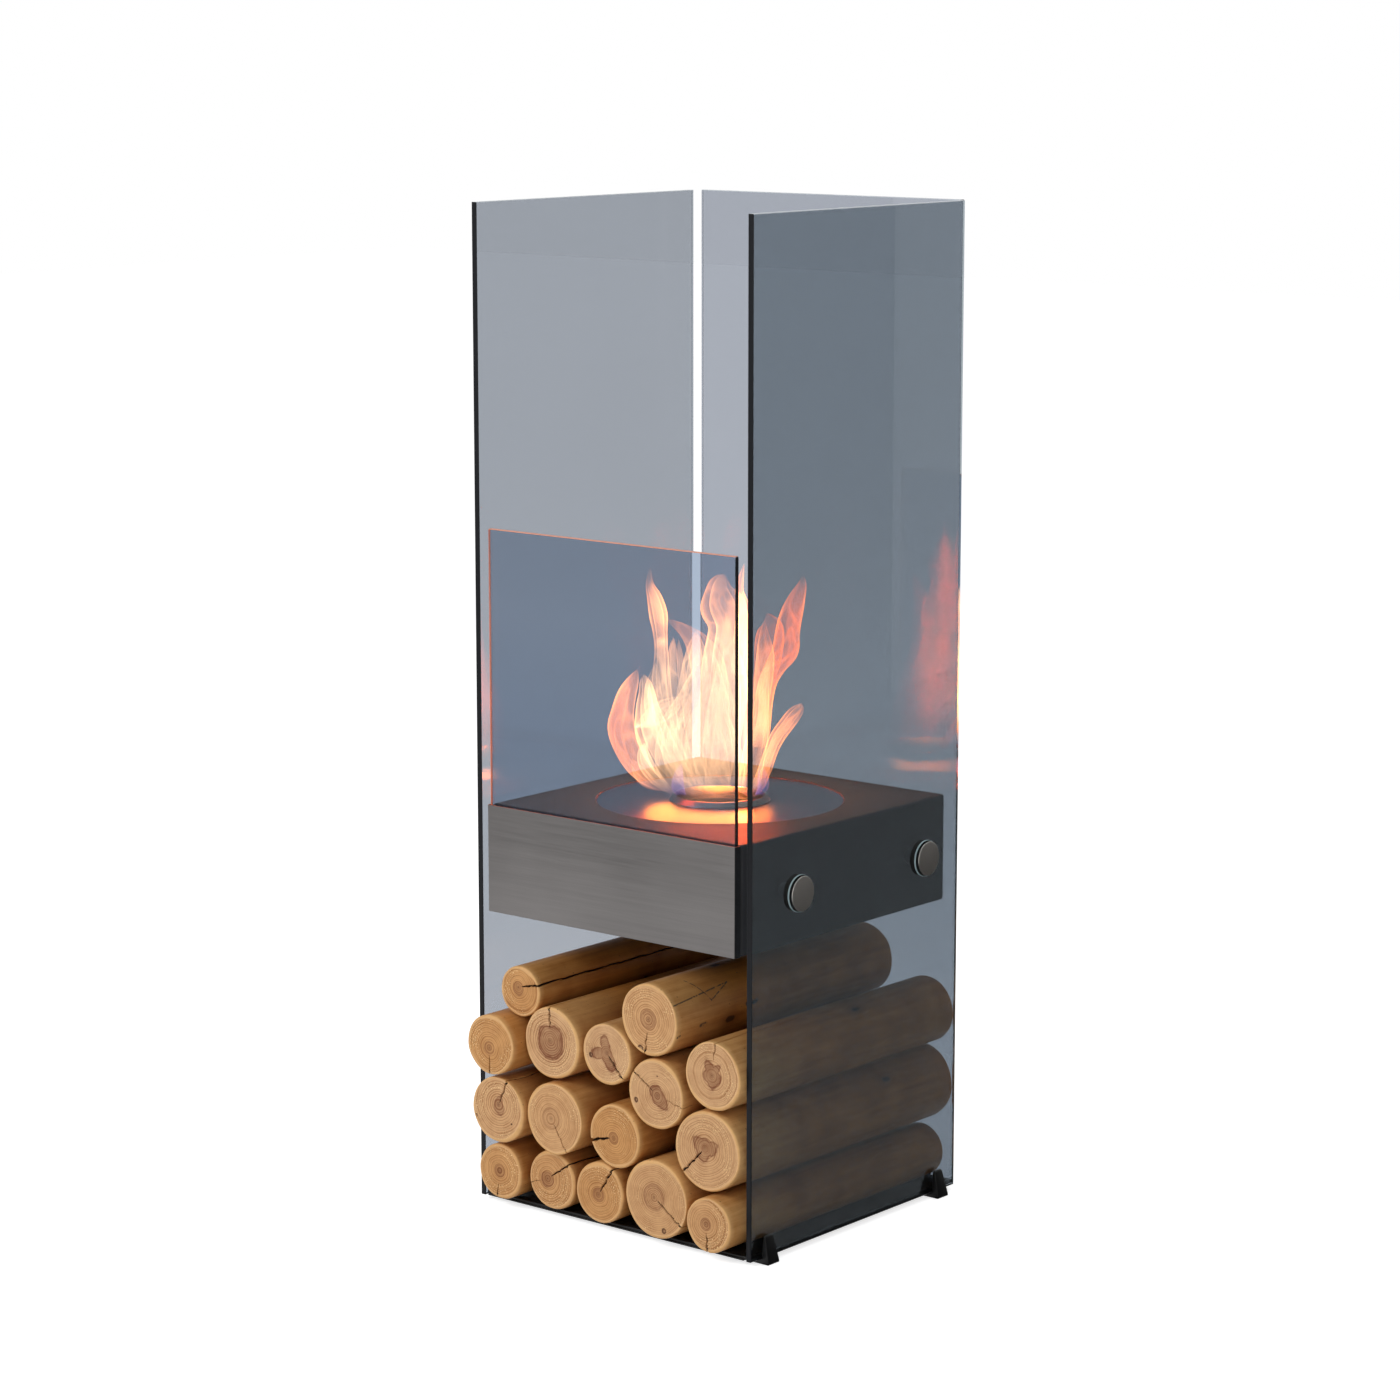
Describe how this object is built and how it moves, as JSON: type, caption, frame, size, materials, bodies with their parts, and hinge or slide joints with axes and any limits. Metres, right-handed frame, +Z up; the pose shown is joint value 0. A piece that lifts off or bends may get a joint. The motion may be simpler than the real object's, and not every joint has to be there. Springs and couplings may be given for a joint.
{
  "type": "bioethanol fireplace",
  "caption": "Free-standing bioethanol fireplace: a round burner in a steel tray hung between tall tinted glass panes, with a low front screen and a log bay below.",
  "frame": {"origin": "on the floor, at the middle of the object's footprint", "axes": "+Z up, -Y to the front, +X to the viewer's right when facing the front"},
  "size_m": [0.4634, 0.4742, 1.25],
  "materials": {
    "tinted_glass": "polished grey-blue tinted toughened glass",
    "screen_glass": "polished lightly tinted toughened glass",
    "charcoal_coat": "satin charcoal powder coat",
    "brushed_fascia": "brushed stainless steel, grain along the width",
    "black_coat": "satin black powder coat",
    "clamp_black": "satin black painted casting",
    "burner_steel": "satin stainless steel",
    "mouth_steel": "satin stainless steel, heat-darkened at the mouth",
    "ceramic_wool": "matt fibrous ceramic",
    "cap_steel": "turned stainless steel, radial sheen",
    "clear_washer": "clear aqua washer",
    "black_rubber": "matt black rubber",
    "peeled_wood": "peeled, smooth honey-coloured softwood with sawn ends"
  },
  "bodies": {
    "frame": {"back_pane": "tinted_glass", "base_plate": "black_coat", "burner_tray": "charcoal_coat", "fascia": "brushed_fascia", "foot_back_left": "clamp_black", "foot_back_right": "clamp_black", "foot_left_front": "clamp_black", "foot_left_rear": "clamp_black", "foot_right_front": "clamp_black", "foot_right_rear": "clamp_black", "left_pane": "tinted_glass", "right_pane": "tinted_glass", "screen_channel": "black_coat", "standoff_cap_back_left": "cap_steel", "standoff_cap_back_right": "cap_steel", "standoff_cap_left_front": "cap_steel", "standoff_cap_left_rear": "cap_steel", "standoff_cap_right_front": "cap_steel", "standoff_cap_right_rear": "cap_steel", "standoff_gasket_back_left": "black_rubber", "standoff_gasket_back_right": "black_rubber", "standoff_gasket_left_front": "black_rubber", "standoff_gasket_left_rear": "black_rubber", "standoff_gasket_right_front": "black_rubber", "standoff_gasket_right_rear": "black_rubber", "standoff_spacer_back_left": "black_rubber", "standoff_spacer_back_right": "black_rubber", "standoff_spacer_left_front": "black_rubber", "standoff_spacer_left_rear": "black_rubber", "standoff_spacer_right_front": "black_rubber", "standoff_spacer_right_rear": "black_rubber", "standoff_washer_back_left": "clear_washer", "standoff_washer_back_right": "clear_washer", "standoff_washer_left_front": "clear_washer", "standoff_washer_left_rear": "clear_washer", "standoff_washer_right_front": "clear_washer", "standoff_washer_right_rear": "clear_washer", "tray_floor": "charcoal_coat"},
    "burner": {"burner_plate": "burner_steel", "burner_collar": "mouth_steel", "fuel_can": "mouth_steel", "wick_block": "ceramic_wool"},
    "screen": {"front_screen": "screen_glass"},
    "log_01": {"log_01": "peeled_wood"},
    "log_02": {"log_02": "peeled_wood"},
    "log_03": {"log_03": "peeled_wood"},
    "log_04": {"log_04": "peeled_wood"},
    "log_05": {"log_05": "peeled_wood"},
    "log_06": {"log_06": "peeled_wood"},
    "log_07": {"log_07": "peeled_wood"},
    "log_08": {"log_08": "peeled_wood"},
    "log_09": {"log_09": "peeled_wood"},
    "log_10": {"log_10": "peeled_wood"},
    "log_11": {"log_11": "peeled_wood"},
    "log_12": {"log_12": "peeled_wood"},
    "log_13": {"log_13": "peeled_wood"},
    "log_14": {"log_14": "peeled_wood"},
    "log_15": {"log_15": "peeled_wood"},
    "log_16": {"log_16": "peeled_wood"}
  },
  "joints": [
    {"name": "burner_lift", "type": "slide", "parent": "frame", "child": "burner", "axis": [0, 0, 1], "range_m": [0, 0.1]},
    {"name": "screen_lift", "type": "slide", "parent": "frame", "child": "screen", "axis": [0, 0, 1], "range_m": [0, 0.08]},
    {"name": "log_01_pull", "type": "slide", "parent": "frame", "child": "log_01", "axis": [0, -1, 0], "range_m": [0, 0.42]},
    {"name": "log_02_pull", "type": "slide", "parent": "frame", "child": "log_02", "axis": [0, -1, 0], "range_m": [0, 0.42]},
    {"name": "log_03_pull", "type": "slide", "parent": "frame", "child": "log_03", "axis": [0, -1, 0], "range_m": [0, 0.42]},
    {"name": "log_04_pull", "type": "slide", "parent": "frame", "child": "log_04", "axis": [0, -1, 0], "range_m": [0, 0.42]},
    {"name": "log_05_pull", "type": "slide", "parent": "frame", "child": "log_05", "axis": [0, -1, 0], "range_m": [0, 0.42]},
    {"name": "log_06_pull", "type": "slide", "parent": "frame", "child": "log_06", "axis": [0, -1, 0], "range_m": [0, 0.42]},
    {"name": "log_07_pull", "type": "slide", "parent": "frame", "child": "log_07", "axis": [0, -1, 0], "range_m": [0, 0.42]},
    {"name": "log_08_pull", "type": "slide", "parent": "frame", "child": "log_08", "axis": [0, -1, 0], "range_m": [0, 0.42]},
    {"name": "log_09_pull", "type": "slide", "parent": "frame", "child": "log_09", "axis": [0, -1, 0], "range_m": [0, 0.42]},
    {"name": "log_10_pull", "type": "slide", "parent": "frame", "child": "log_10", "axis": [0, -1, 0], "range_m": [0, 0.42]},
    {"name": "log_11_pull", "type": "slide", "parent": "frame", "child": "log_11", "axis": [0, -1, 0], "range_m": [0, 0.42]},
    {"name": "log_12_pull", "type": "slide", "parent": "frame", "child": "log_12", "axis": [0, -1, 0], "range_m": [0, 0.42]},
    {"name": "log_13_pull", "type": "slide", "parent": "frame", "child": "log_13", "axis": [0, -1, 0], "range_m": [0, 0.42]},
    {"name": "log_14_pull", "type": "slide", "parent": "frame", "child": "log_14", "axis": [0, -1, 0], "range_m": [0, 0.42]},
    {"name": "log_15_pull", "type": "slide", "parent": "frame", "child": "log_15", "axis": [0, -1, 0], "range_m": [0, 0.42]},
    {"name": "log_16_pull", "type": "slide", "parent": "frame", "child": "log_16", "axis": [0, -1, 0], "range_m": [0, 0.42]}
  ]
}
